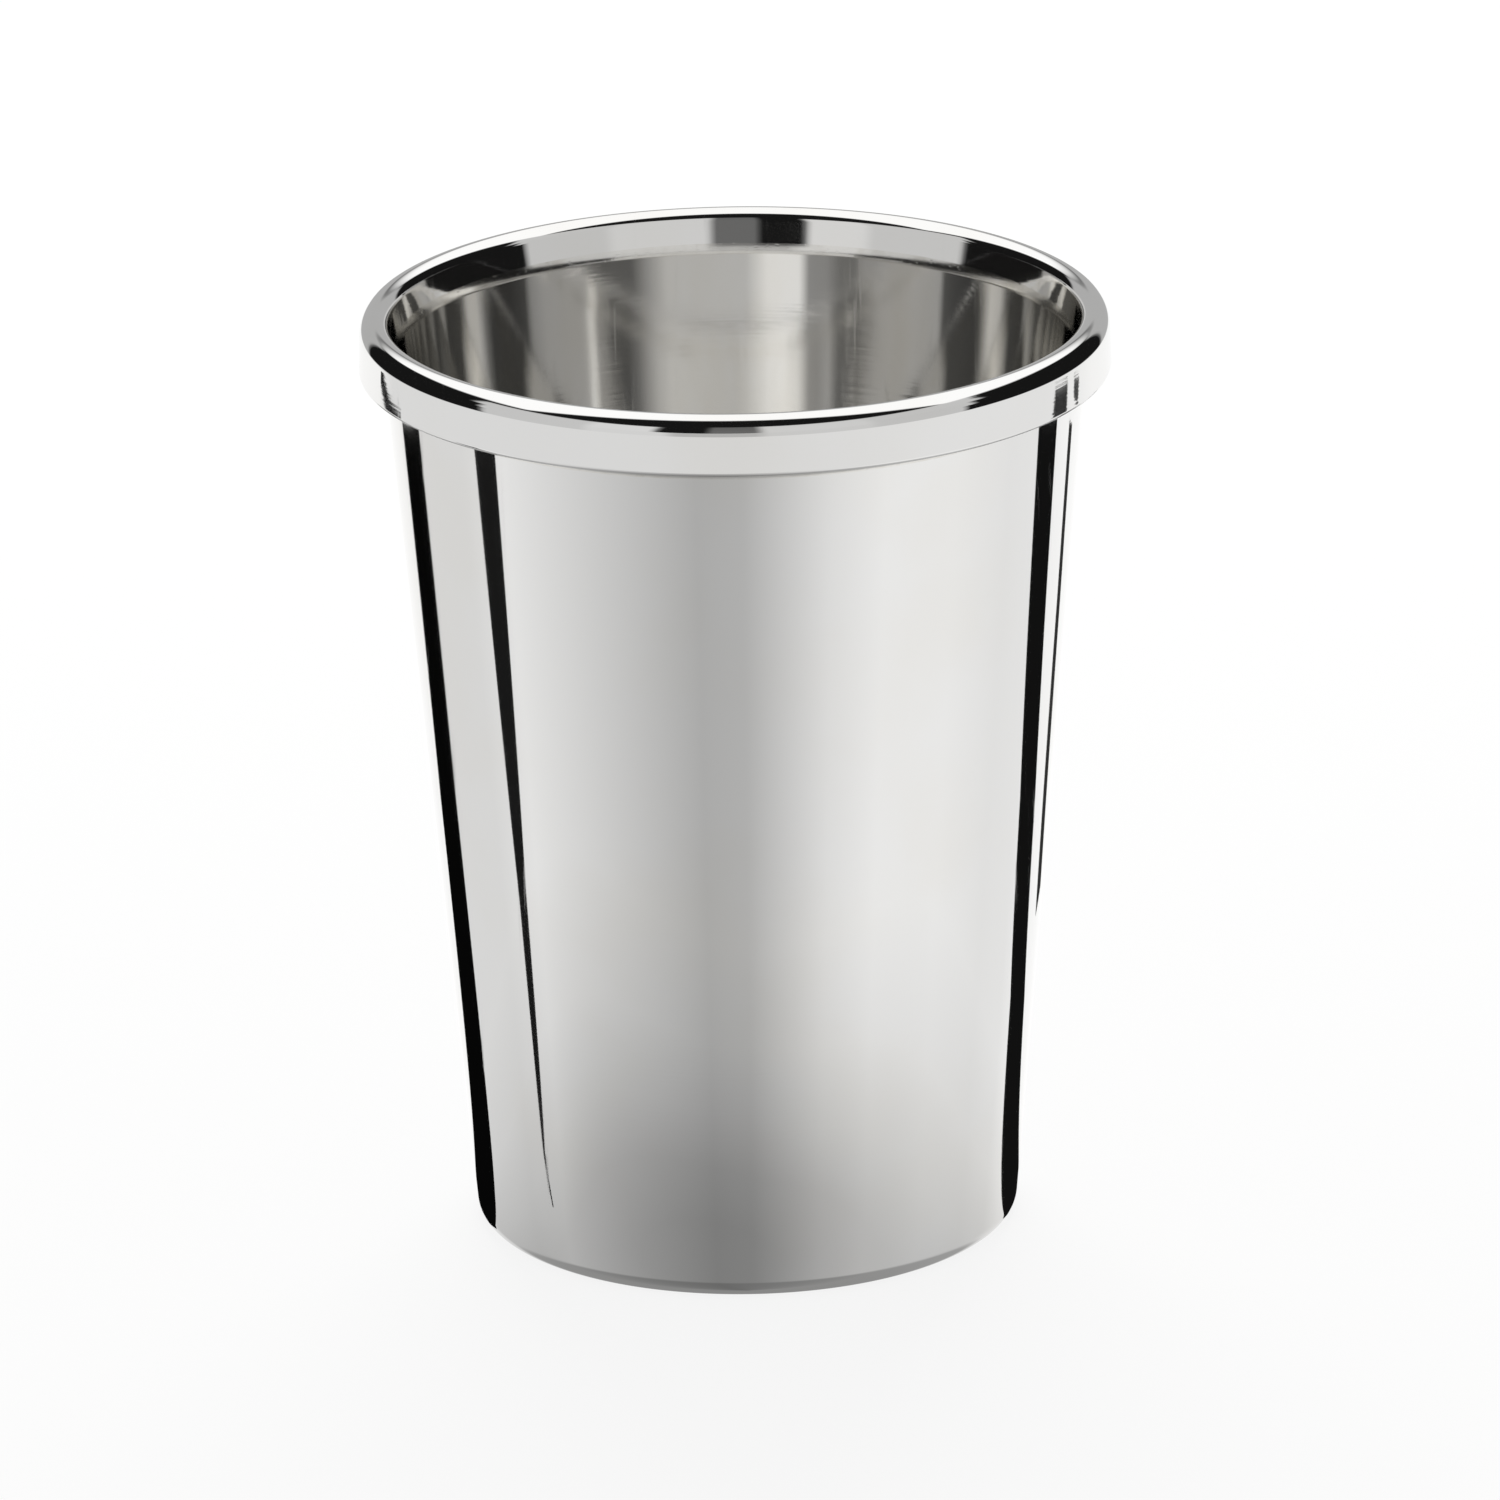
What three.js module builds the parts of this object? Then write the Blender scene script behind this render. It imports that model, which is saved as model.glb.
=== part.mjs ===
// Polished silver tumbler: a tapered sheet wall on a domed base disc, with a drawn
// moulding soldered round the lip. Millimetres, +Z up, origin on the floor at the cup's axis.
import * as THREE from "three";

// Driving dimensions
const cupHeight = 82.5; // floor to the crest of the rim
const rimDiameter = 65; // across the moulding
const rimHeight = 5.15; // crest to the underside of the moulding
const rimOverhang = 2.15; // how far the underside stands out from the wall
const rimDraft = 0.09; // how much the moulding's face draws in from its lower edge to the shoulder
const shoulderRadius = 2; // easy round from the moulding's face up to the nose
const shoulderTurn = THREE.MathUtils.degToRad(45); // where the shoulder meets the nose, from the face
const noseRadius = 1.1; // round from the shoulder over the crest
const crownFall = THREE.MathUtils.degToRad(24); // slope of the crown, inwards from the crest
const crownWidth = 0.35; // straight run of the crown's slope
const lipRadius = 0.6; // round from the crown into the lip
const rimEdgeRadius = 0.3; // lower edge of the moulding's face
const lipDepth = 3.2; // crest down to the top edge of the wall
const wallThickness = 1.2;
const footDiameter = 47.2; // outside of the wall, carried straight down to the floor
const footRadius = 1.8; // outside corner of the foot
const flangeWidth = 4; // reach of the turned-in foot flange, from the outside of the foot
const baseThickness = 0.9;
const baseRise = 1; // dome of the base disc at its middle
const baseLedge = 1.5; // flat edge of the base disc that lies on the flange
const baseEdgeClearance = 0.25; // between the base disc's edge and the round of the foot
const solderFilm = 0.05; // joint gap that the solder is drawn into
const lipSeamLeg = 0.3; // each side of the solder seam inside the lip
const rimFilletLeg = 0.8; // each side of the solder fillet under the moulding
const baseFilletLeg = 1.3; // each side of the solder fillet round the base disc

// Facets
const turnSegments = 72;
const arcSteps = 6;
const fineArcSteps = 3;

// Places worked out from the driving dimensions
const rimRadius = rimDiameter / 2;
const footOutside = footDiameter / 2;
const rimUnderside = cupHeight - rimHeight;
const wallTop = cupHeight - lipDepth;
const wallSlope = (rimRadius - rimOverhang - footOutside) / rimUnderside;
const taper = Math.atan(wallSlope);
const wallAcross = wallThickness / Math.cos(taper); // the wall measured level
const footCentre = footOutside + wallSlope * footRadius - footRadius / Math.cos(taper);
const flangeInside = footOutside - flangeWidth;
const baseRadius = footCentre - baseEdgeClearance;
const baseUnderside = wallThickness + solderFilm;
const baseTop = baseUnderside + baseThickness;

const outsideAt = (z) => footOutside + wallSlope * z;
const insideAt = (z) => outsideAt(z) - wallAcross;
const point = (radius, z) => new THREE.Vector2(radius, z);
const pointing = (angle) => point(Math.cos(angle), Math.sin(angle));

// Section of the moulding's top: shoulder, nose, falling crown, and a lip that runs straight
// down to the inside of the wall
const crownAngle = Math.PI / 2 + crownFall;
const shoulderStep = pointing(shoulderTurn).multiplyScalar(shoulderRadius - noseRadius);
const shoulderCentre = point(rimRadius - rimDraft - shoulderRadius, cupHeight - noseRadius - shoulderStep.y);
const noseCentre = shoulderCentre.clone().add(shoulderStep);
const crownStart = noseCentre.clone().addScaledVector(pointing(crownAngle), noseRadius);
const crownEnd = crownStart.clone().addScaledVector(pointing(Math.PI + crownFall), crownWidth);
const lipCentre = crownEnd.clone().addScaledVector(pointing(crownAngle), -lipRadius);
const lipFoot = point(insideAt(wallTop - lipSeamLeg), wallTop - lipSeamLeg);
const lipReach = lipCentre.clone().sub(lipFoot);
const lipLean = Math.atan2(lipReach.x, lipReach.y) - Math.asin(lipRadius / lipReach.length());
const lipAt = (z) => point(lipFoot.x + (z - lipFoot.y) * Math.tan(lipLean), z);

function arc(centre, radius, fromAngle, toAngle, steps = arcSteps) {
  const clockwise = toAngle < fromAngle;
  return new THREE.ArcCurve(centre.x, centre.y, radius, fromAngle, toAngle, clockwise).getPoints(steps);
}

// Turns an outline in the radius and height plane about the cup's axis.
function turned(name, outline, finish) {
  const mesh = new THREE.Mesh(new THREE.LatheGeometry(outline, turnSegments), finish);
  mesh.name = name;
  mesh.rotation.x = Math.PI / 2;
  return mesh;
}

const turnedRing = (name, outline, finish) => turned(name, [...outline, outline[0].clone()], finish);

const polishedSilver = new THREE.MeshStandardMaterial({ color: 0xe6e5e1, roughness: 0.06, metalness: 1 });
const turnedSilver = new THREE.MeshStandardMaterial({ color: 0xdedcd6, roughness: 0.2, metalness: 1 });
const silverSolder = new THREE.MeshStandardMaterial({ color: 0xd8d5cc, roughness: 0.16, metalness: 1 });

// Tapered wall, turned in at the foot to a flange that the cup stands on
function makeWall() {
  const centre = point(footCentre, footRadius);
  const quarterDown = -Math.PI / 2;
  const outline = [
    point(flangeInside, 0),
    ...arc(centre, footRadius, quarterDown, -taper),
    point(outsideAt(wallTop), wallTop),
    point(insideAt(wallTop) + lipSeamLeg, wallTop),
    point(insideAt(wallTop - lipSeamLeg), wallTop - lipSeamLeg),
    ...arc(centre, footRadius - wallThickness, -taper, quarterDown),
    point(flangeInside, wallThickness),
  ];
  return turnedRing("cup_wall", outline, polishedSilver);
}

// Base disc with a flat ledge on the flange and a domed middle
function makeBaseDisc() {
  const domeRadius = baseRadius - baseLedge;
  const sphereRadius = (domeRadius ** 2 + baseRise ** 2) / (2 * baseRise);
  const domeAngle = Math.asin(domeRadius / sphereRadius);
  const straightUp = Math.PI / 2;
  const dome = (edgeHeight) => {
    const centre = point(0, edgeHeight + baseRise - sphereRadius);
    return arc(centre, sphereRadius, straightUp, straightUp - domeAngle);
  };
  const outline = [
    ...dome(baseUnderside),
    point(baseRadius, baseUnderside),
    point(baseRadius, baseTop),
    ...dome(baseTop).reverse(),
  ];
  return turned("base_disc", outline, turnedSilver);
}

// Drawn moulding that caps the wall: lip, falling crown, nose, shoulder, straight face, flat underside
function makeRimMoulding() {
  const seat = wallTop + solderFilm;
  const edgeCentre = point(rimRadius - rimEdgeRadius, rimUnderside + rimEdgeRadius);
  const outline = [
    point(outsideAt(rimUnderside) + solderFilm, rimUnderside),
    ...arc(edgeCentre, rimEdgeRadius, -Math.PI / 2, 0, fineArcSteps),
    ...arc(shoulderCentre, shoulderRadius, 0, shoulderTurn),
    ...arc(noseCentre, noseRadius, shoulderTurn, crownAngle).slice(1),
    ...arc(lipCentre, lipRadius, crownAngle, Math.PI - lipLean),
    lipAt(seat + lipSeamLeg),
    point(insideAt(wallTop) + lipSeamLeg, seat),
    point(outsideAt(seat) + solderFilm, seat),
  ];
  return turnedRing("rim_moulding", outline, polishedSilver);
}

// Solder seam that fills the notch between the wall's top edge and the lip, flush with the lip
function makeLipSeam() {
  const reach = lipSeamLeg - 2 * solderFilm;
  const middle = wallTop + solderFilm / 2;
  const outline = [lipAt(middle - reach), point(insideAt(middle) + reach, middle), lipAt(middle + reach)];
  return turnedRing("lip_seam", outline, silverSolder);
}

// Hollow face of a solder fillet, from a wall to a level ledge
function hollowFace(onWall, corner, onLedge) {
  return new THREE.QuadraticBezierCurve(onWall, corner, onLedge).getPoints(arcSteps);
}

// Solder fillet in the corner between the moulding's underside and the outside of the wall
function makeRimFillet() {
  const top = rimUnderside - solderFilm;
  const againstWall = (z) => point(outsideAt(z) + solderFilm, z);
  const corner = againstWall(top);
  const onLedge = point(corner.x + rimFilletLeg, top);
  const outline = [corner, ...hollowFace(againstWall(top - rimFilletLeg), corner, onLedge)];
  return turnedRing("rim_solder_fillet", outline, silverSolder);
}

// Solder that fills the groove between the base disc's edge and the round of the foot,
// and ends in a fillet between the disc's top and the inside of the wall
function makeBaseFillet() {
  const floor = wallThickness + solderFilm;
  const ledge = baseTop + solderFilm;
  const againstDisc = baseRadius + solderFilm;
  const againstWall = (z) => point(insideAt(z) - solderFilm, z);
  const grooveRadius = footRadius - wallThickness - solderFilm;
  const onLedge = point(baseRadius - baseFilletLeg, ledge);
  const outline = [
    point(againstDisc, floor),
    ...arc(point(footCentre, footRadius), grooveRadius, -Math.PI / 2, -taper),
    ...hollowFace(againstWall(ledge + baseFilletLeg), againstWall(ledge), onLedge),
    point(againstDisc, ledge),
  ];
  return turnedRing("base_solder_fillet", outline, silverSolder);
}

const cup = new THREE.Group();
cup.name = "silver_tumbler";
cup.add(makeWall(), makeBaseDisc(), makeRimMoulding(), makeLipSeam(), makeRimFillet(), makeBaseFillet());

export default cup;
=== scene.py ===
# Polished silver tumbler on a pale studio table.
import math

import bmesh
import bpy
from mathutils import Matrix, Vector
from mathutils.geometry import interpolate_bezier


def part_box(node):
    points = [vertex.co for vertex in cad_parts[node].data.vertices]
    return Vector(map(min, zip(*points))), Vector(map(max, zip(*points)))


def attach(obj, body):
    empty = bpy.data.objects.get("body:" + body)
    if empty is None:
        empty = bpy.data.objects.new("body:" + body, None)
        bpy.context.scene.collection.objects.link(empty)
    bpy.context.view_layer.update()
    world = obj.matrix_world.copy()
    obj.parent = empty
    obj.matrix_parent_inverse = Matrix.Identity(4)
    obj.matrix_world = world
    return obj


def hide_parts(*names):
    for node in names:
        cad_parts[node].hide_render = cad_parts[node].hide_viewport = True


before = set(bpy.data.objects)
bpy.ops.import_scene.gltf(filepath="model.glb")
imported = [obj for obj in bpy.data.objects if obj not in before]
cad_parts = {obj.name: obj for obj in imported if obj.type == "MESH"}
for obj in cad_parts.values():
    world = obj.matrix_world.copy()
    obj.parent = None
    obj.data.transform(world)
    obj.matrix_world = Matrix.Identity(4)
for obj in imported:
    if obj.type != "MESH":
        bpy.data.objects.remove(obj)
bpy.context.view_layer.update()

mm = 0.001


# Shader maths

class Socket:
    # wraps a node's output, so that shader maths reads as Python

    def __init__(self, tree, output):
        self.tree = tree
        self.output = output

    def math(self, operation, other=None, swap=False):
        values = [self] if other is None else [other, self] if swap else [self, other]
        return addNode(self.tree, "ShaderNodeMath", {"operation": operation}, dict(enumerate(values)))

    def __add__(self, other):
        return self.math("ADD", other)

    __radd__ = __add__

    def __mul__(self, other):
        return self.math("MULTIPLY", other)

    __rmul__ = __mul__

    def __sub__(self, other):
        return self.math("SUBTRACT", other)

    def __rsub__(self, other):
        return self.math("SUBTRACT", other, swap=True)

    def __truediv__(self, other):
        return self.math("DIVIDE", other)

    def __rtruediv__(self, other):
        return self.math("DIVIDE", other, swap=True)

    def rampTo(self, low, high):
        # 0 at low, 1 at high, with a soft start and end
        settings = {"interpolation_type": "SMOOTHSTEP"}
        inputs = {"Value": self, "From Min": low, "From Max": high}
        return addNode(self.tree, "ShaderNodeMapRange", settings, inputs)


def addNode(tree, kind, settings=None, inputs=None, output=0):
    node = tree.nodes.new(kind)
    for name, value in (settings or {}).items():
        if name == "stops":
            fillRamp(node.color_ramp, value)
        else:
            setattr(node, name, value)
    for name, value in (inputs or {}).items():
        if isinstance(value, Socket):
            tree.links.new(value.output, node.inputs[name])
        else:
            node.inputs[name].default_value = value
    return Socket(tree, node.outputs[output]) if len(node.outputs) else node


def fillRamp(ramp, stops):
    # a new ramp already has its first two stops
    for index, (place, colour) in enumerate(stops):
        stop = ramp.elements[index] if index < 2 else ramp.elements.new(place)
        stop.position = place
        stop.color = colour


def grey(level):
    return level, level, level, 1


def mixColour(tree, factor, first, second):
    # sockets 0, 6 and 7 are the factor and the two colours
    return addNode(tree, "ShaderNodeMix", {"data_type": "RGBA"}, {0: factor, 6: first, 7: second}, output=2)


def greyRamp(tree, factor, levels, label):
    stops = [(place, grey(level)) for place, level in levels]
    return addNode(tree, "ShaderNodeValToRGB", {"label": label, "stops": stops}, {"Fac": factor})


def newMaterial(name):
    material = bpy.data.materials.new(name)
    material.use_nodes = True
    material.node_tree.nodes.clear()
    return material, material.node_tree


def objectPlace(tree, scale=(1, 1, 1), turn=(0, 0, 0)):
    place = addNode(tree, "ShaderNodeTexCoord", output="Object")
    return addNode(tree, "ShaderNodeMapping", None, {"Vector": place, "Scale": scale, "Rotation": turn})


def fineNoise(tree, scale, detail, place):
    return addNode(tree, "ShaderNodeTexNoise", None, {"Vector": place, "Scale": scale, "Detail": detail})


def metalSurface(tree, look, colour, roughness, height):
    bump = addNode(tree, "ShaderNodeBump", None, {
        "Strength": look["bumpStrength"], "Distance": look["bumpDistance"], "Height": height})
    shader = addNode(tree, "ShaderNodeBsdfPrincipled", None, {
        "Base Color": colour, "Metallic": 1.0, "Roughness": roughness, "Normal": bump})
    addNode(tree, "ShaderNodeOutputMaterial", None, {"Surface": shader})


# Silver finishes. Edges are the noise levels between which a mark fades in.

silverLook = {
    "bright": (0.93, 0.926, 0.915, 1),
    "warm": (0.90, 0.885, 0.85, 1),
    "warmShare": 0.5,
    "roughness": 0.03,
    "hazeScale": 55,
    "hazeDetail": 3,
    "hazeEdges": (0.42, 0.68),
    "hazeRoughness": 0.02,  # added where the polish is less even
    "hairlineStretch": (2600, 90, 90),
    "hairlineTurn": (0.3, 0.9, 0.5),
    "hairlineDetail": 1,
    "hairlineEdges": (0.66, 0.74),
    "hairlineRoughness": 0.05,
    "buffStretch": (60, 60, 4200),  # buffing lines run round the cup
    "buffDetail": 2,
    "bumpStrength": 0.004,
    "bumpDistance": 0.2 * mm,
}


def polishedSilver():
    look = silverLook
    material, tree = newMaterial("polishedSilver")
    haze = fineNoise(tree, look["hazeScale"], look["hazeDetail"], objectPlace(tree))
    haze = haze.rampTo(*look["hazeEdges"])
    buff = fineNoise(tree, 1, look["buffDetail"], objectPlace(tree, look["buffStretch"]))
    hairlinePlace = objectPlace(tree, look["hairlineStretch"], look["hairlineTurn"])
    hairlines = fineNoise(tree, 1, look["hairlineDetail"], hairlinePlace).rampTo(*look["hairlineEdges"])
    colour = mixColour(tree, haze * look["warmShare"], look["bright"], look["warm"])
    roughness = haze * look["hazeRoughness"] + hairlines * look["hairlineRoughness"] + look["roughness"]
    metalSurface(tree, look, colour, roughness, buff)
    return material


turnedLook = {
    "bright": (0.90, 0.893, 0.87, 1),
    "warm": (0.85, 0.825, 0.77, 1),
    "roughness": 0.16,
    "wearScale": 120,
    "wearDetail": 4,
    "wearEdges": (0.4, 0.7),
    "wearRoughness": 0.12,
    "ringsPerMetre": 2600,
    "bumpStrength": 0.05,
    "bumpDistance": 0.2 * mm,
}


def turnedSilver():
    look = turnedLook
    material, tree = newMaterial("turnedSilver")
    place = addNode(tree, "ShaderNodeTexCoord", output="Object")
    flat = addNode(tree, "ShaderNodeVectorMath", {"operation": "MULTIPLY"}, {0: place, 1: (1, 1, 0)})
    radius = addNode(tree, "ShaderNodeVectorMath", {"operation": "LENGTH"}, {0: flat}, output="Value")
    rings = (radius * look["ringsPerMetre"] * math.tau).math("SINE")
    wear = fineNoise(tree, look["wearScale"], look["wearDetail"], objectPlace(tree))
    colour = mixColour(tree, wear.rampTo(*look["wearEdges"]), look["bright"], look["warm"])
    roughness = wear * look["wearRoughness"] + look["roughness"]
    metalSurface(tree, look, colour, roughness, rings + wear)
    return material


solderLook = {
    "bright": (0.90, 0.885, 0.85, 1),
    "dull": (0.80, 0.78, 0.73, 1),
    "roughness": 0.07,
    "flowScale": 420,
    "flowDetail": 3,
    "flowEdges": (0.45, 0.75),
    "flowRoughness": 0.06,
    "pitScale": 2600,
    "pitDetail": 2,
    "pitEdges": (0.58, 0.75),
    "pitRoughness": 0.1,
    "bumpStrength": 0.03,
    "bumpDistance": 0.1 * mm,
}


def silverSolder():
    look = solderLook
    material, tree = newMaterial("silverSolder")
    flow = fineNoise(tree, look["flowScale"], look["flowDetail"], objectPlace(tree))
    pits = fineNoise(tree, look["pitScale"], look["pitDetail"], objectPlace(tree))
    pits = pits.rampTo(*look["pitEdges"])
    colour = mixColour(tree, flow.rampTo(*look["flowEdges"]), look["bright"], look["dull"])
    roughness = flow * look["flowRoughness"] + pits * look["pitRoughness"] + look["roughness"]
    metalSurface(tree, look, colour, roughness, flow - pits)
    return material


finishes = {
    "polished_silver": polishedSilver(),
    "turned_silver": turnedSilver(),
    "silver_solder": silverSolder(),
}
print("finishes made:", ", ".join(finishes))


# Turning an outline round the cup's axis

turning = {
    "steps": 320,
    "crease": math.radians(24),
    "mergeDistance": 1e-7,
    "faceShares": (0.02, 0.5, 0.98),  # rings just inside both ends keep a face straight in its shading
}


def at(radius, height):
    return Vector((radius, 0, height))


def pointing(angle):
    return at(math.cos(angle), math.sin(angle))


def arc(centre, radius, fromAngle, toAngle, steps):
    angles = [fromAngle + (toAngle - fromAngle) * i / steps for i in range(steps + 1)]
    return [centre + radius * pointing(a) for a in angles]


def straight(first, last, steps):
    return [first.lerp(last, i / steps) for i in range(steps + 1)]


def between(first, last):
    return [first.lerp(last, share) for share in turning["faceShares"]]


def bend(first, corner, last, steps):
    # a parabola that leaves first and reaches last along the lines to the corner
    return interpolate_bezier(first, first.lerp(corner, 2 / 3), last.lerp(corner, 2 / 3), last, steps + 1)


def turned(name, outline, finish, node, closed=True):
    bm = bmesh.new()
    points = [bm.verts.new(p) for p in outline]
    for first, second in zip(points, points[1:]):
        bm.edges.new((first, second))
    if closed:
        bm.edges.new((points[-1], points[0]))
    bmesh.ops.spin(bm, geom=bm.verts[:] + bm.edges[:], cent=(0, 0, 0), axis=(0, 0, 1), angle=math.tau,
                   steps=turning["steps"], use_merge=True)
    bmesh.ops.remove_doubles(bm, verts=bm.verts[:], dist=turning["mergeDistance"])
    bmesh.ops.recalc_face_normals(bm, faces=bm.faces[:])
    mesh = bpy.data.meshes.new(name)
    bm.to_mesh(mesh)
    bm.free()
    mesh.shade_smooth()
    mesh.set_sharp_from_angle(angle=turning["crease"])
    mesh.materials.append(finishes[finish])
    piece = bpy.data.objects.new(name, mesh)
    bpy.context.scene.collection.objects.link(piece)
    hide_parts(node)
    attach(piece, "root")
    print(name, "turned,", len(mesh.polygons), "faces")


# The cup's own sizes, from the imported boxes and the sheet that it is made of

rimLow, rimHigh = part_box("rim_moulding")
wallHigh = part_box("cup_wall")[1]
discLow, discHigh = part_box("base_disc")
cupHeight = rimHigh.z
rimRadius = rimHigh.x
rimUnderside = rimLow.z
wallTop = wallHigh.z

sheet = {"thickness": 1.2 * mm, "footRadius": 23.6 * mm, "solderFilm": 0.05 * mm}
film = sheet["solderFilm"]
wallSlope = (wallHigh.x - sheet["footRadius"]) / wallTop
taper = math.atan(wallSlope)
wallAcross = sheet["thickness"] / math.cos(taper)


def outsideAt(z):
    return sheet["footRadius"] + wallSlope * z


def insideAt(z):
    return outsideAt(z) - wallAcross


wall = {
    "footRound": 1.8 * mm,
    "flangeReach": 4 * mm,
    "lengthRings": 24,
    "footRings": 10,
}
seam = {"leg": 0.3 * mm, "run": 0.6 * mm, "rings": 8}  # solder between the wall's top edge and the lip

footCentre = at(outsideAt(wall["footRound"]) - wall["footRound"] / math.cos(taper), wall["footRound"])
seamFoot = at(insideAt(wallTop - seam["run"]), wallTop - seam["run"])


def makeWall():
    thickness = sheet["thickness"]
    flangeInside = sheet["footRadius"] - wall["flangeReach"]
    footRound = arc(footCentre, wall["footRound"], -math.pi / 2, -taper, wall["footRings"])
    innerRound = arc(footCentre, wall["footRound"] - thickness, -taper, -math.pi / 2, wall["footRings"])
    outline = [at(flangeInside, 0)]
    outline += footRound[:-1]
    outline += straight(footRound[-1], at(outsideAt(wallTop), wallTop), wall["lengthRings"])
    outline.append(at(insideAt(wallTop) + seam["leg"], wallTop))
    outline += straight(seamFoot, innerRound[0], wall["lengthRings"])
    outline += innerRound[1:]
    outline.append(at(flangeInside, thickness))
    turned("cupWall", outline, "polished_silver", "cup_wall")


disc = {"ledge": 1.5 * mm, "rise": 1 * mm, "rings": 24}
discEdgeTop = discHigh.z - disc["rise"]


def makeBaseDisc():
    edge = discHigh.x
    domeEdge = edge - disc["ledge"]
    ball = (domeEdge ** 2 + disc["rise"] ** 2) / (2 * disc["rise"])
    spread = math.asin(domeEdge / ball)

    def dome(edgeHeight):
        centre = at(0, edgeHeight + disc["rise"] - ball)
        return arc(centre, ball, math.pi / 2, math.pi / 2 - spread, disc["rings"])

    outline = dome(discLow.z)
    outline += [at(edge, discLow.z), at(edge, discEdgeTop)]
    outline += dome(discEdgeTop)[::-1]
    turned("baseDisc", outline, "turned_silver", "base_disc", closed=False)


moulding = {
    "edge": 0.3 * mm,
    "draft": 0.09 * mm,
    "shoulder": 2 * mm,
    "shoulderTurn": math.radians(45),
    "nose": 1.1 * mm,
    "crownFall": math.radians(24),
    "lip": 1.27 * mm,
    "edgeRings": 8,
    "rings": 24,
}
crownAngle = math.pi / 2 + moulding["crownFall"]


def lipLine():
    # centres of the shoulder, nose and lip rounds, the lip's lean and a point on its straight for any height
    step = (moulding["shoulder"] - moulding["nose"]) * pointing(moulding["shoulderTurn"])
    shoulderRadius = rimRadius - moulding["draft"] - moulding["shoulder"]
    shoulder = at(shoulderRadius, cupHeight - moulding["nose"] - step.z)
    nose = shoulder + step
    lip = nose + (moulding["nose"] - moulding["lip"]) * pointing(crownAngle)
    foot = at(insideAt(wallTop - seam["leg"]), wallTop - seam["leg"])
    reach = lip - foot
    lean = math.atan2(reach.x, reach.z) - math.asin(moulding["lip"] / reach.length)

    def lipAt(height):
        return at(foot.x + (height - foot.z) * math.tan(lean), height)

    return shoulder, nose, lip, lean, lipAt


def makeRimMoulding():
    seat = wallTop + film
    shoulder, nose, lip, lean, lipAt = lipLine()
    turn = moulding["shoulderTurn"]
    rings = moulding["rings"]
    edge = at(rimRadius - moulding["edge"], rimUnderside + moulding["edge"])
    faceLean = math.atan(moulding["draft"] / (shoulder.z - edge.z))
    lipStart = lipAt(seat + seam["leg"])
    edgeRound = arc(edge, moulding["edge"], -math.pi / 2, faceLean, moulding["edgeRings"])
    shoulderRound = arc(shoulder, moulding["shoulder"], faceLean, turn, rings)
    noseRound = arc(nose, moulding["nose"], turn, crownAngle, rings)
    lipRound = arc(lip, moulding["lip"], crownAngle, math.pi - lean, rings)
    outline = [at(outsideAt(rimUnderside) + film, rimUnderside)]
    outline += edgeRound + between(edgeRound[-1], shoulderRound[0])
    outline += shoulderRound + noseRound[1:] + lipRound[1:] + between(lipRound[-1], lipStart)
    outline += [lipStart, at(insideAt(wallTop) + seam["leg"], seat), at(outsideAt(seat) + film, seat)]
    turned("rimMoulding", outline, "polished_silver", "rim_moulding")


def makeLipSeam():
    # the solder fills the notch and is dressed round from the wall into the lip
    lipAt = lipLine()[-1]
    face = bend(seamFoot, lipAt(wallTop - seam["leg"]), lipAt(wallTop + film + seam["leg"]), seam["rings"])
    back = at(insideAt(wallTop) + seam["leg"], wallTop + film / 2)
    turned("lipSeam", face + [back], "silver_solder", "lip_seam")


fillet = {"rimLeg": 0.8 * mm, "baseLeg": 1.3 * mm, "rings": 12}


def makeRimFillet():
    top = rimUnderside - film
    corner = at(outsideAt(top) + film, top)
    onWall = at(outsideAt(top - fillet["rimLeg"]) + film, top - fillet["rimLeg"])
    onLedge = at(corner.x + fillet["rimLeg"], top)
    outline = [corner] + bend(onWall, corner, onLedge, fillet["rings"])
    turned("rimSolderFillet", outline, "silver_solder", "rim_solder_fillet")


def makeBaseFillet():
    ledge = discEdgeTop + film
    againstDisc = discHigh.x + film
    groove = wall["footRound"] - sheet["thickness"] - film
    onWall = at(insideAt(ledge + fillet["baseLeg"]) - film, ledge + fillet["baseLeg"])
    onLedge = at(discHigh.x - fillet["baseLeg"], ledge)
    outline = [at(againstDisc, sheet["thickness"] + film)]
    outline += arc(footCentre, groove, -math.pi / 2, -taper, fillet["rings"])
    outline += bend(onWall, at(insideAt(ledge) - film, ledge), onLedge, fillet["rings"])
    outline.append(at(againstDisc, ledge))
    turned("baseSolderFillet", outline, "silver_solder", "base_solder_fillet")


makeWall()
makeBaseDisc()
makeRimMoulding()
makeLipSeam()
makeRimFillet()
makeBaseFillet()


# Studio: pale table with black flags on it, weak lamp behind, soft box overhead and grey cards round the cup.
# Directions round the cup are in degrees from the camera's side, positive to the right.

def stagePiece(name, bm, material, mirroredOnly):
    mesh = bpy.data.meshes.new(name)
    bm.to_mesh(mesh)
    bm.free()
    mesh.materials.append(material)
    card = bpy.data.objects.new(name, mesh)
    bpy.context.scene.collection.objects.link(card)
    if mirroredOnly:
        card.visible_camera = False
        card.visible_diffuse = False
        card.visible_shadow = False
        card.visible_transmission = False
        card.visible_volume_scatter = False


# The contact shade is what the metal sees of the table near the foot: share of the reach, and level
table = {
    "half": 4.0,
    "drop": 0.1 * mm,
    "colour": (0.88, 0.88, 0.875, 1),
    "shownWhite": 0.86,
    "contactStretch": (1, 1.6, 1),  # it fades sooner towards the camera than to the sides
    "contactPlace": (-6 * mm, -48 * mm, 0),
    "contactReach": 100 * mm,
    "contactShade": [(0.1, 0.5), (0.25, 0.58), (0.4, 0.74), (0.6, 0.9), (0.9, 1)],
}


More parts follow.
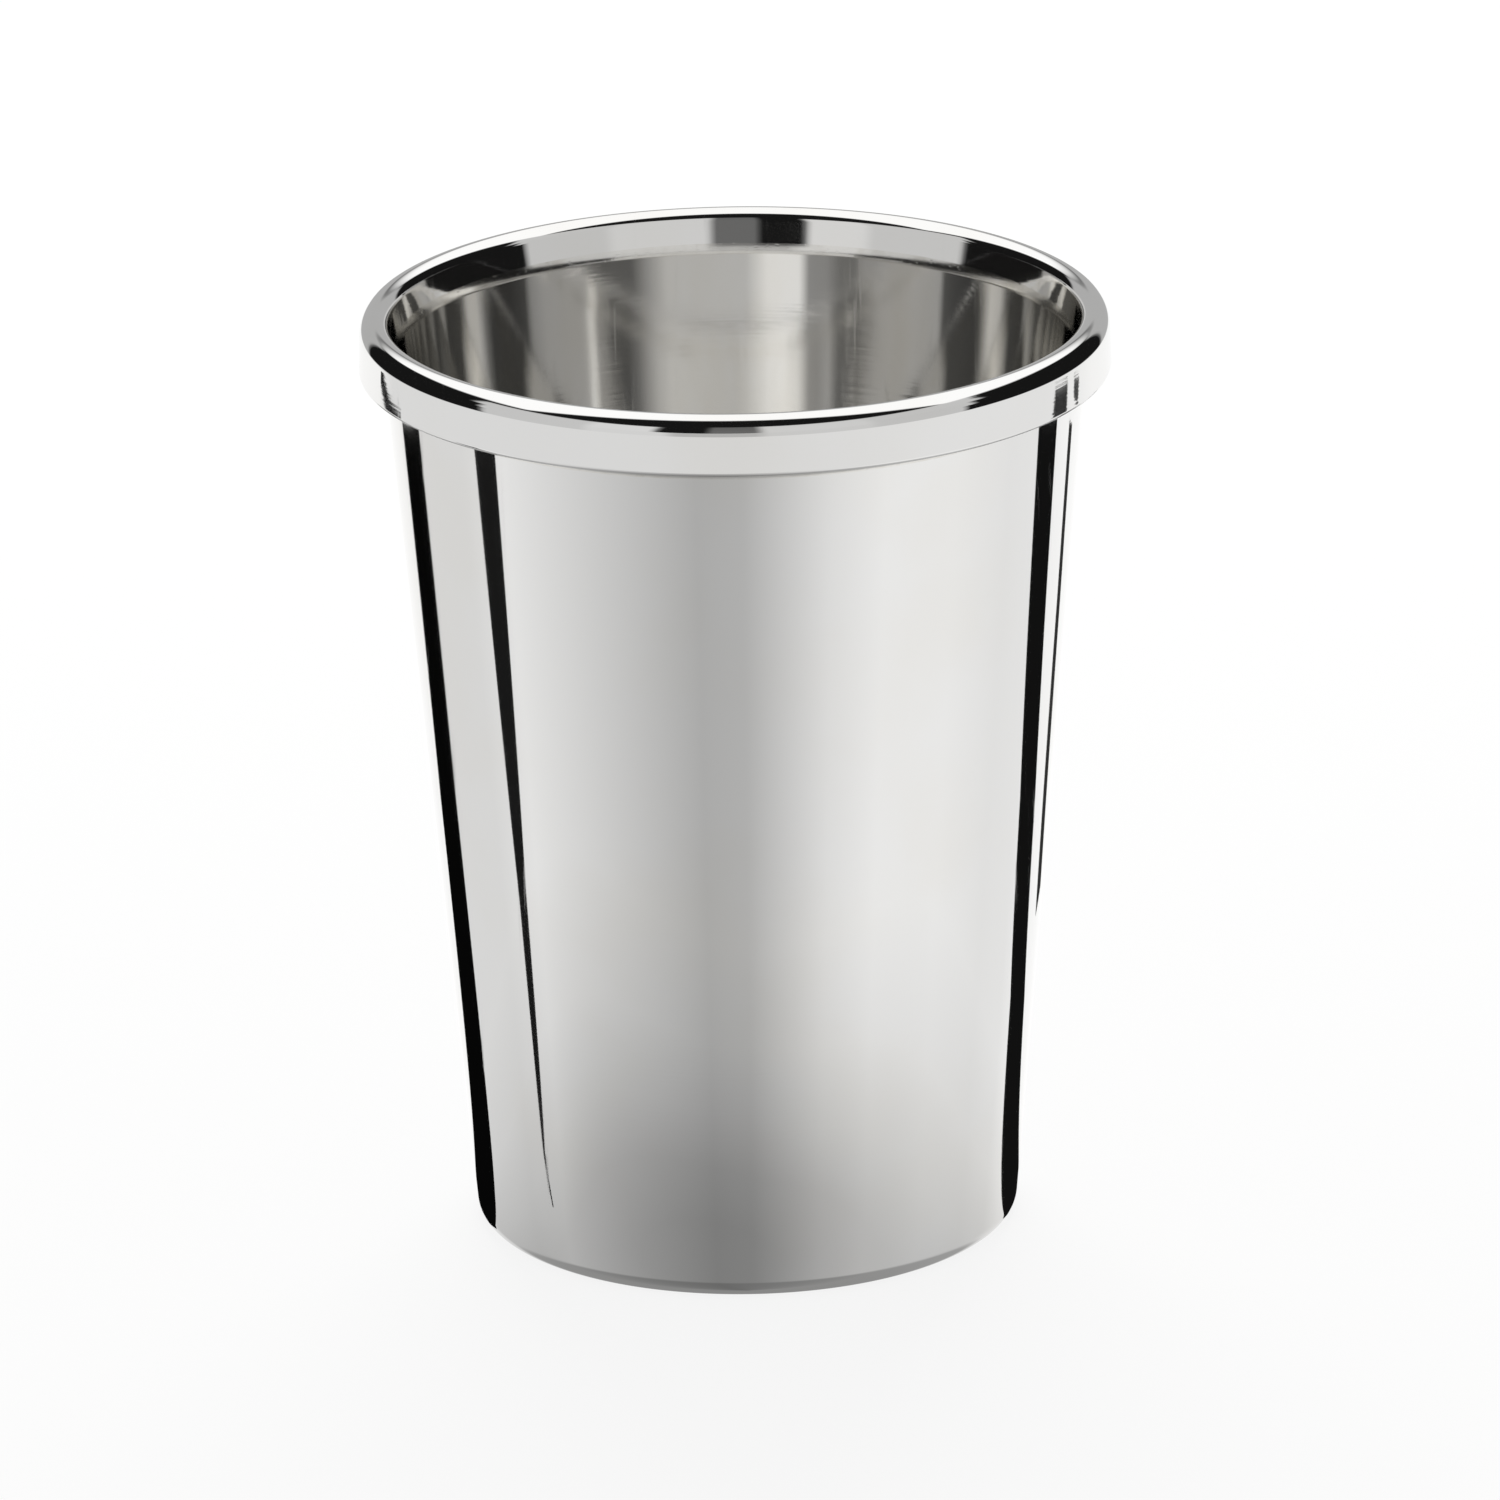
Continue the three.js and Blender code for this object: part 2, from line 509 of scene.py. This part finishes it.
def makeTable():
    material, tree = newMaterial("paleTable")
    paper = addNode(tree, "ShaderNodeBsdfDiffuse", None, {"Color": table["colour"]})
    white = addNode(tree, "ShaderNodeEmission", None, {"Color": grey(1), "Strength": 1.0})
    clear = addNode(tree, "ShaderNodeBsdfTransparent")
    place = objectPlace(tree, table["contactStretch"])
    distance = addNode(tree, "ShaderNodeVectorMath", {"operation": "DISTANCE"},
                       {0: place, 1: table["contactPlace"]}, output="Value")
    contact = greyRamp(tree, distance / table["contactReach"], table["contactShade"], "contactShade")
    mirrored = addNode(tree, "ShaderNodeBsdfTransparent", None, {"Color": contact})
    cameraRay = addNode(tree, "ShaderNodeLightPath", output="Is Camera Ray")
    glossyRay = addNode(tree, "ShaderNodeLightPath", output="Is Glossy Ray")
    fromBelow = addNode(tree, "ShaderNodeNewGeometry", output="Backfacing")
    whiteShare = cameraRay * table["shownWhite"]
    shown = addNode(tree, "ShaderNodeMixShader", None, {0: whiteShare, 1: paper, 2: white})
    surface = addNode(tree, "ShaderNodeMixShader", None, {0: glossyRay, 1: shown, 2: mirrored})
    surface = addNode(tree, "ShaderNodeMixShader", None, {0: fromBelow, 1: surface, 2: clear})
    addNode(tree, "ShaderNodeOutputMaterial", None, {"Surface": surface})
    bm = bmesh.new()
    bmesh.ops.create_grid(bm, x_segments=1, y_segments=1, size=table["half"])
    bmesh.ops.translate(bm, verts=bm.verts[:], vec=(0, 0, -table["drop"]))
    stagePiece("table", bm, material, mirroredOnly=False)


# Black flags lie flat on the table. Each has two edges, from the cup outwards, in millimetres.
# The first four show on the wall, the last three on the rim's face.
flagLift = 0.2 * mm
tableFlags = {
    "leftWide": {"level": 0.002, "edges": [
        [(-22, 4), (-75, 87), (-141, 168)],
        [(-23, -7), (-97, 59), (-176, 121)]]},
    "leftNarrow": {"level": 0.01, "edges": [
        [(-29, -16.6), (-40, -14.8), (-92, -10), (-200, 7)],
        [(-29, -16.8), (-40, -15.4), (-92, -16), (-198, -26)]]},
    "rightWide": {"level": 0.006, "edges": [
        [(23, -6), (61, 25), (101, 48), (190, 85)],
        [(22, 5), (50, 39), (86, 72), (168, 130)]]},
    "rightThin": {"level": 0.03, "edges": [
        [(52, 63), (104, 129), (138, 166)],
        [(47, 76), (93, 138), (127, 176)]]},
    "bandLeft": {"level": 0.01, "edges": [
        [(-212, 200), (-226, 172), (-252, 134)],
        [(-221, 206), (-234, 178), (-260, 140)]]},
    "bandRight": {"level": 0.03, "edges": [
        [(285, 84), (292, 106)],
        [(264, 123), (273, 140)]]},
    "bandThin": {"level": 0.05, "edges": [
        [(256, 149), (259, 158)],
        [(244.5, 156), (246, 171)]]},
}


def makeTableFlag(name, flag):
    material, tree = newMaterial(name + "Black")
    glow = addNode(tree, "ShaderNodeEmission", None, {"Color": grey(flag["level"]), "Strength": 1.0})
    addNode(tree, "ShaderNodeOutputMaterial", None, {"Surface": glow})
    bm = bmesh.new()
    first, second = [[bm.verts.new((x * mm, y * mm, flagLift)) for x, y in edge] for edge in flag["edges"]]
    for i in range(len(first) - 1):
        bm.faces.new((first[i], first[i + 1], second[i + 1], second[i]))
    stagePiece(name, bm, material, mirroredOnly=True)


backLight = {"place": (0.0, 0.62, 0.72), "size": (0.62, 0.5), "watts": 6.0}


def makeBackLight():
    data = bpy.data.lights.new("backLight", "AREA")
    data.shape = "RECTANGLE"
    data.size, data.size_y = backLight["size"]
    data.energy = backLight["watts"]
    lamp = bpy.data.objects.new("backLight", data)
    lamp.location = backLight["place"]
    aim = Vector((0, 0, cupHeight / 2)) - lamp.location
    lamp.rotation_euler = aim.to_track_quat("-Z", "Y").to_euler()
    lamp.visible_camera = False
    lamp.visible_glossy = False
    bpy.context.scene.collection.objects.link(lamp)


# What polished metal sees of the studio, as grey levels round the cup in layers of height.
# A layer starts between two angles over the horizon. It has levels by side, or cards from side to side.
# Inside the cup the view is folded several times, so each fold has levels of its own: a painted reflection,
# picked by the number of glossy bounces.
# As the metal sees it, the table is darker in front of the cup: a painted shadow of the cup falling towards
# the camera. The under layer, steeply below, is darker still: painted shade close under the cup.
tableSeen = [
    {"name": "under", "levels": [(-180, 0.5), (-100, 0.5), (-14, 0.3), (60, 0.52), (180, 0.5)]},
    {"name": "table", "starts": (-42, -34), "levels": [
        (-180, 1.05), (-152, 0.95), (-141, 0.72), (-106, 0.72), (-86, 0.82), (-14, 0.435), (2, 0.46),
        (32, 0.76), (52, 0.87), (80, 0.87), (106, 0.8), (125, 0.82), (140, 0.93), (180, 1.05)]},
    {"name": "farTable", "starts": (-17.8, -17.2), "levels": [
        (-180, 1.0), (-140, 0.95), (-130, 0.74), (0, 0.72), (60, 0.79), (110, 0.8), (140, 0.95), (180, 1.0)]},
]

fourthFar = [
    (-180, 0.56), (-92, 0.62), (-74, 0.5), (-46, 0.17), (-30, 0.07), (-8, 0.05), (0, 0.1), (10, 0.08),
    (38, 0.14), (51, 0.38), (66, 0.3), (78, 0.32), (94, 0.85), (112, 0.98), (134, 0.92), (166, 0.62),
    (180, 0.56)]

surround = {
    "fill": 0.55,
    "dark": 0.008,
    "cardEdge": 2.5,
    "folds": {
        "first": tableSeen + [
            {"name": "panelFeet", "starts": (-11, -9), "cards": [
                (-180, -148, 0.43), (-81, -48, 0.58), (-44, -22, 0.68), (-18, 6, 0.48), (10, 40, 0.62),
                (44, 72, 0.56), (148, 180, 0.43)]},
            {"name": "panels", "starts": (7.6, 8.2), "cards": [
                (-180, -148, 0.43), (-83, -48, 0.58), (-44, -26, 0.7), (-7, 6, 0.14), (9, 40, 0.64),
                (44, 76, 0.56), (148, 180, 0.43)]},
            {"name": "highPanels", "starts": (18, 22), "cards": [
                (-88, -48, 0.58), (-44, -26, 0.7), (-7, 6, 0.13), (9, 40, 0.64), (44, 82, 0.57)]},
            {"name": "rightPanelTop", "starts": (30, 34), "cards": [
                (-7, 6, 0.12), (9, 40, 0.63), (44, 85, 0.57)]},
            {"name": "over", "starts": (36, 39), "cards": []},
        ],
        "second": tableSeen + [
            {"name": "secondOver", "starts": (-11, -9), "cards": [
                (-180, -98, 0.62), (-92, -66, 0.35), (66, 92, 0.35), (98, 180, 0.62)]},
            {"name": "secondHigh", "starts": (14, 16), "cards": [(-180, -98, 0.62), (98, 180, 0.62)]},
        ],
        "third": [
            {"name": "thirdAll", "levels": [
                (-180, 0.3), (-132, 0.3), (-124, 0.16), (-108, 0.17), (-94, 0.27), (-76, 0.28), (-66, 0.86),
                (-34, 0.86), (-12, 0.53), (68, 0.53), (92, 0.25), (104, 0.11), (140, 0.1), (180, 0.3)]},
        ],
        "fourth": [
            {"name": "fourthNear", "levels": [
                (-180, 0.04), (-140, 0.065), (-123, 0.09), (-115, 0.38), (-70, 0.42), (-30, 0.42), (11, 0.4),
                (16, 0.74), (22, 0.78), (29, 0.44), (36, 0.38), (90, 0.35), (112, 0.26), (122, 0.06),
                (150, 0.035), (180, 0.03)]},
            {"name": "fourthFar", "starts": (19.8, 20.2), "levels": fourthFar},
            {"name": "fourthNearLip", "starts": (26, 27), "levels": [
                (-180, 0.56), (-125, 0.58), (-115, 0.38), (-30, 0.42), (11, 0.4), (16, 0.74), (22, 0.78),
                (29, 0.44), (36, 0.38), (90, 0.35), (105, 0.45), (115, 0.95), (134, 0.92), (166, 0.62),
                (180, 0.56)]},
            {"name": "fourthFarLip", "starts": (34.7, 35.2), "levels": fourthFar},
            {"name": "fourthRound", "starts": (41, 44), "levels": [
                (-180, 0.56), (-40, 0.4), (-20, 0.15), (25, 0.15), (45, 0.5), (65, 0.9), (110, 0.9),
                (140, 0.6), (180, 0.56)]},
        ],
        "fifth": [
            {"name": "fifthAll", "levels": [
                (-180, 0.1), (-166, 0.15), (-150, 0.55), (-126, 0.65), (-102, 0.12), (-92, 0.055),
                (-34, 0.07), (-18, 0.38), (14, 0.38), (34, 0.05), (94, 0.05), (108, 0.15), (130, 0.56),
                (152, 0.54), (168, 0.12), (180, 0.1)]},
        ],
        "sixth": [
            {"name": "sixthAll", "levels": [
                (-180, 0.28), (-158, 0.25), (-146, 0.05), (-106, 0.07), (-86, 0.45), (-66, 0.75), (-40, 0.3),
                (40, 0.3), (66, 0.75), (88, 0.47), (106, 0.06), (148, 0.05), (160, 0.28), (180, 0.28)]},
        ],
        "later": [
            {"name": "laterAll", "levels": [
                (-180, 0.08), (-146, 0.08), (-112, 0.38), (-96, 0.06), (96, 0.12), (118, 0.1), (135, 0.05),
                (152, 0.2), (180, 0.1)]},
        ],
    },
}


def cardLevels(cards):
    # cards that nearly touch run into one another, and the gaps between the others are black
    dark = surround["dark"]
    edge = surround["cardEdge"]
    levels = []
    reached = -180 - edge
    for start, end, level in cards:
        if start - edge > reached + edge:
            levels += [(reached + edge, dark), (start - edge, dark)]
        levels += [(start, level), (end, level)]
        reached = end
    if reached + edge < 180:
        levels += [(reached + edge, dark), (180, dark)]
    return levels


def layered(tree, layers, side, height):
    seen = None
    for layer in layers:
        levels = layer["levels"] if "levels" in layer else cardLevels(layer["cards"])
        shares = [((degrees + 180) / 360, level) for degrees, level in levels]
        shade = greyRamp(tree, side, shares, layer["name"])
        seen = mixColour(tree, height.rampTo(*layer["starts"]), seen, shade) if seen else shade
    return seen


# A level soft box over the cup and behind it. Its edges fade, and are in heights of the box above the cup.
softBox = {"front": (-0.4, -0.28), "back": (1.4, 2.9), "halfWidth": (1.2, 1.4), "level": 1.05}


def inSoftBox(x, y, z):
    behind = y / z
    across = (x / z).math("ABSOLUTE")
    inside = behind.rampTo(*softBox["front"]) * (1 - behind.rampTo(*softBox["back"]))
    return inside * (1 - across.rampTo(*softBox["halfWidth"])) * z.math("GREATER_THAN", 0)


def makeSurround():
    world = bpy.data.worlds.new("surround")
    bpy.context.scene.world = world
    world.use_nodes = True
    tree = world.node_tree
    tree.nodes.clear()
    direction = addNode(tree, "ShaderNodeTexCoord", output="Generated")
    x, y, z = [addNode(tree, "ShaderNodeSeparateXYZ", None, {0: direction}, output=axis) for axis in "XYZ"]
    side = x.math("ARCTAN2", 0 - y) / math.tau + 0.5  # share of a turn, with the camera's side at a half
    height = z.math("ARCSINE") * math.degrees(1)
    bounces = addNode(tree, "ShaderNodeLightPath", output="Glossy Depth")
    firstFold, *laterFolds = surround["folds"].values()
    mirrored = layered(tree, firstFold, side, height)
    mirrored = mixColour(tree, inSoftBox(x, y, z), mirrored, grey(softBox["level"]))
    # each later fold swaps in its own painted reflection levels, picked by the glossy bounce count
    for count, fold in enumerate(laterFolds, start=1):
        isLater = bounces.math("GREATER_THAN", count + 0.5)
        mirrored = mixColour(tree, isLater, mirrored, layered(tree, fold, side, height))
    cameraRay = addNode(tree, "ShaderNodeLightPath", output="Is Camera Ray")
    glossyRay = addNode(tree, "ShaderNodeLightPath", output="Is Glossy Ray")
    colour = mixColour(tree, glossyRay, grey(surround["fill"]), mirrored)
    colour = mixColour(tree, cameraRay, colour, grey(1))
    light = addNode(tree, "ShaderNodeBackground", None, {"Color": colour, "Strength": 1.0})
    addNode(tree, "ShaderNodeOutputWorld", None, {"Surface": light})


cameraView = {
    "place": (0.887 * mm, -1147.566 * mm, 427.253 * mm),
    "pitch": 18.546,
    "roll": -0.8466,
    "yaw": 0.0052,
    "focalPixels": 13882.04,
    "imagePixels": 1500,
    "sensor": 36.0,
    "clip": (0.05, 20),
}


def makeCamera():
    data = bpy.data.cameras.new("camera")
    data.sensor_width = cameraView["sensor"]
    data.lens = cameraView["focalPixels"] / cameraView["imagePixels"] * cameraView["sensor"]
    data.clip_start, data.clip_end = cameraView["clip"]
    camera = bpy.data.objects.new("camera", data)
    turn = Matrix.Rotation(math.radians(cameraView["yaw"]), 4, "Z")
    turn = turn @ Matrix.Rotation(math.radians(90 - cameraView["pitch"]), 4, "X")
    turn = turn @ Matrix.Rotation(math.radians(cameraView["roll"]), 4, "Z")
    camera.matrix_world = Matrix.Translation(cameraView["place"]) @ turn
    bpy.context.scene.collection.objects.link(camera)
    bpy.context.scene.camera = camera


makeTable()
for flagName, flagShape in tableFlags.items():
    makeTableFlag(flagName, flagShape)
makeBackLight()
makeSurround()
makeCamera()
bpy.context.scene.view_settings.view_transform = "Standard"
bpy.context.scene.cycles.glossy_bounces = 12  # the inside of the cup mirrors itself many times
print("studio ready")
